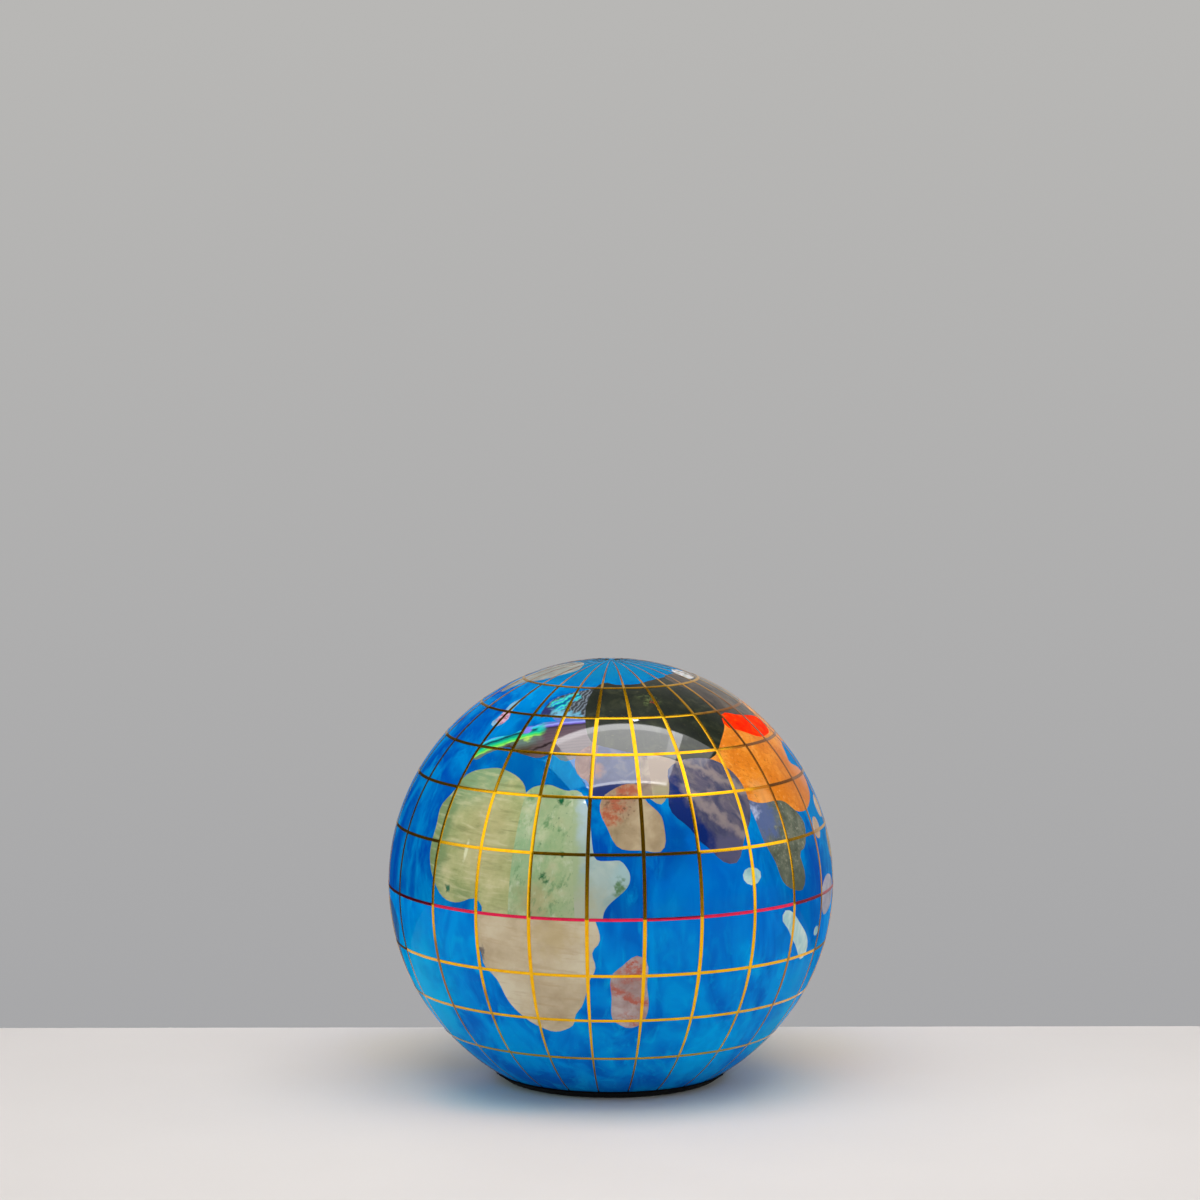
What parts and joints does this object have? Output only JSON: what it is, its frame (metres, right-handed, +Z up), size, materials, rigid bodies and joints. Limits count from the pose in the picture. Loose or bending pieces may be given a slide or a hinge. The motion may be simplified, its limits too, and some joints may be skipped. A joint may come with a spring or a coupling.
{
  "type": "globe paperweight",
  "caption": "Round gemstone-inlaid globe paperweight with a brass graticule and a red equator, resting on a felt-padded flat.",
  "frame": {"origin": "centre of the felt pad's underside, on the surface the globe rests on", "axes": "+Z up through the north pole, -Y towards the side with Africa and Arabia, +X towards eastern Asia"},
  "size_m": [0.0802, 0.0802, 0.0758],
  "materials": {
    "core": "rough cast mineral",
    "ocean": "opalescent resin, polished and lacquered",
    "brass_strip": "bright, lacquered",
    "red_strip": "red-pink enamel, lacquered",
    "felt": "black felt",
    "pale_green_stone": "polished and lacquered",
    "speckled_green_stone": "polished and lacquered",
    "grey_green_stone": "polished and lacquered",
    "cream_stone": "polished and lacquered",
    "pink_veined_stone": "polished and lacquered",
    "tan_red_stone": "polished and lacquered",
    "pink_brown_stone": "polished and lacquered",
    "indigo_stone": "polished and lacquered",
    "olive_grey_stone": "polished and lacquered",
    "orange_stone": "polished and lacquered",
    "red_orange_stone": "polished and lacquered",
    "dark_green_stone": "polished and lacquered",
    "dark_brown_stone": "polished and lacquered",
    "abalone_shell": "iridescent shell, polished and lacquered",
    "pale_pink_stone": "polished and lacquered",
    "tan_stone": "polished and lacquered",
    "white_shell": "polished and lacquered",
    "pale_aqua_stone": "polished and lacquered"
  },
  "bodies": {
    "root": {"africa_east_stone": "grey_green_stone", "africa_northeast_stone": "speckled_green_stone", "africa_northwest_stone": "pale_green_stone", "africa_south_stone": "cream_stone", "alaska_stone": "white_shell", "anatolia_stone": "pink_brown_stone", "arabia_stone": "tan_red_stone", "argentina_stone": "olive_grey_stone", "australia_east_stone": "orange_stone", "australia_west_stone": "tan_red_stone", "baffin_stone": "grey_green_stone", "base_pad": "felt", "borneo_stone": "pale_pink_stone", "brazil_stone": "speckled_green_stone", "britain_stone": "pale_pink_stone", "canada_east_stone": "pink_brown_stone", "canada_west_stone": "dark_green_stone", "chile_stone": "dark_brown_stone", "china_stone": "orange_stone", "colombia_stone": "cream_stone", "core": "core", "cuba_stone": "tan_stone", "equator_strips": "red_strip", "europe_stone": "abalone_shell", "far_east_stone": "tan_stone", "greenland_stone": "tan_stone", "hainan_stone": "tan_stone", "india_stone": "indigo_stone", "indochina_stone": "olive_grey_stone", "japan_stone": "pink_veined_stone", "java_stone": "pale_aqua_stone", "madagascar_stone": "pink_veined_stone", "manchuria_stone": "orange_stone", "meridian_strips": "brass_strip", "mexico_stone": "red_orange_stone", "mongolia_stone": "red_orange_stone", "new_guinea_stone": "speckled_green_stone", "new_zealand_stones": "pale_green_stone", "ocean_shell_north": "ocean", "ocean_shell_south": "ocean", "parallel_strips_north": "brass_strip", "parallel_strips_south": "brass_strip", "persia_stone": "indigo_stone", "peru_stone": "orange_stone", "philippines_stone": "olive_grey_stone", "russia_east_stone": "dark_brown_stone", "russia_west_stone": "dark_green_stone", "scandinavia_stone": "abalone_shell", "sri_lanka_stone": "pale_aqua_stone", "sumatra_stone": "pale_aqua_stone", "taiwan_stone": "tan_stone", "taymyr_stone": "white_shell", "turkestan_stone": "cream_stone", "usa_east_stone": "indigo_stone", "usa_west_stone": "abalone_shell"}
  },
  "joints": []
}
